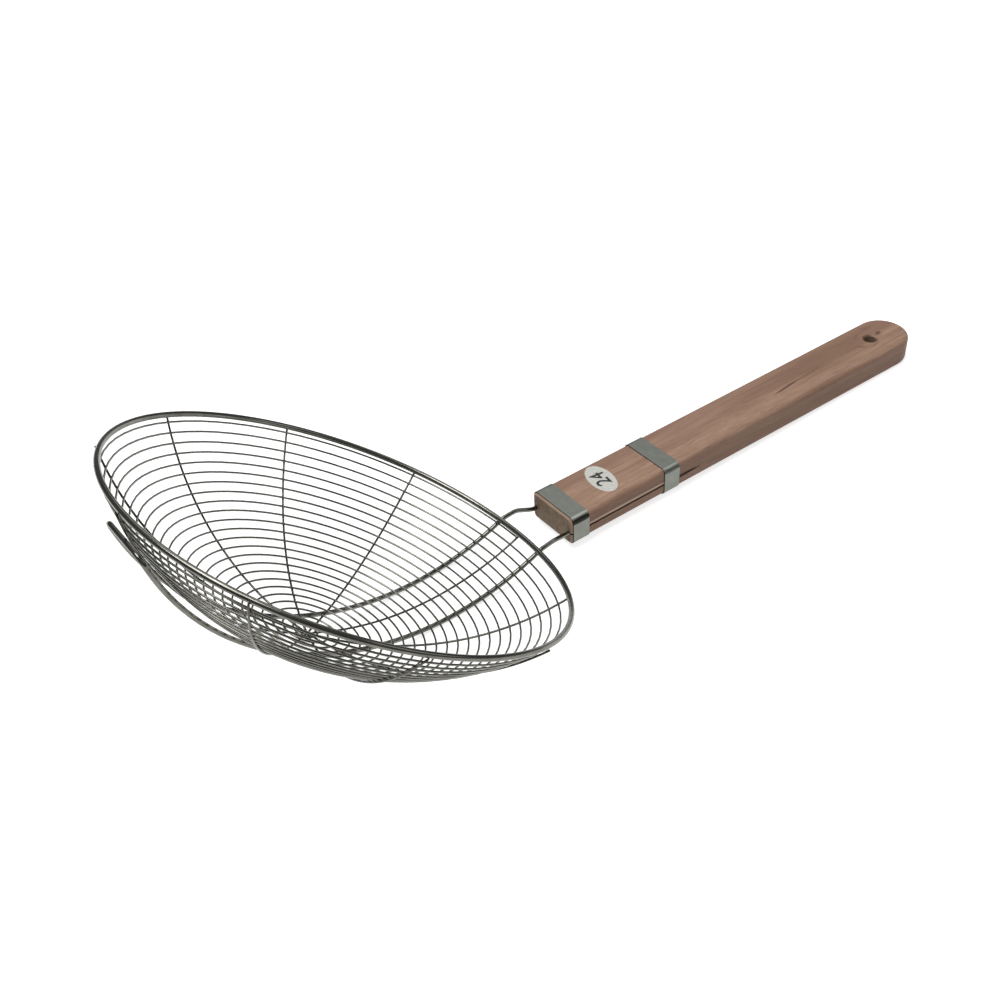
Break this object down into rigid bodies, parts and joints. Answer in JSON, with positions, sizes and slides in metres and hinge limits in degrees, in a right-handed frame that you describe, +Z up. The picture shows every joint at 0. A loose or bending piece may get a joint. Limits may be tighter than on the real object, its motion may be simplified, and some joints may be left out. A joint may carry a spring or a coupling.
{
  "type": "spider skimmer",
  "caption": "Spider skimmer: a shallow round basket of spiral wire on crossing ribs, carried by a bent support wire with a rest hook, on a flat wooden handle with a hang hole.",
  "frame": {"origin": "centre of the bounding box's underside, on the table that the skimmer lies on", "axes": "+X along the skimmer from the basket to the handle's rear end, +Y to the left, +Z up"},
  "size_m": [0.5248, 0.24, 0.1428],
  "materials": {
    "wood": "smooth, lightly oiled reddish-brown hardwood",
    "steel_wire": "bright drawn stainless wire",
    "sheet_steel": "dull grey plated sheet",
    "label_paper": "matt coated paper sticker"
  },
  "bodies": {
    "root": {"handle": "wood", "front_ferrule": "sheet_steel", "rear_ferrule": "sheet_steel", "size_label": "label_paper", "rim_ring": "steel_wire", "spiral_wire": "steel_wire", "support_wire": "steel_wire", "rib_wire_1": "steel_wire", "rib_wire_2": "steel_wire", "rib_wire_3": "steel_wire", "rib_wire_4": "steel_wire", "rib_wire_5": "steel_wire"}
  },
  "joints": []
}
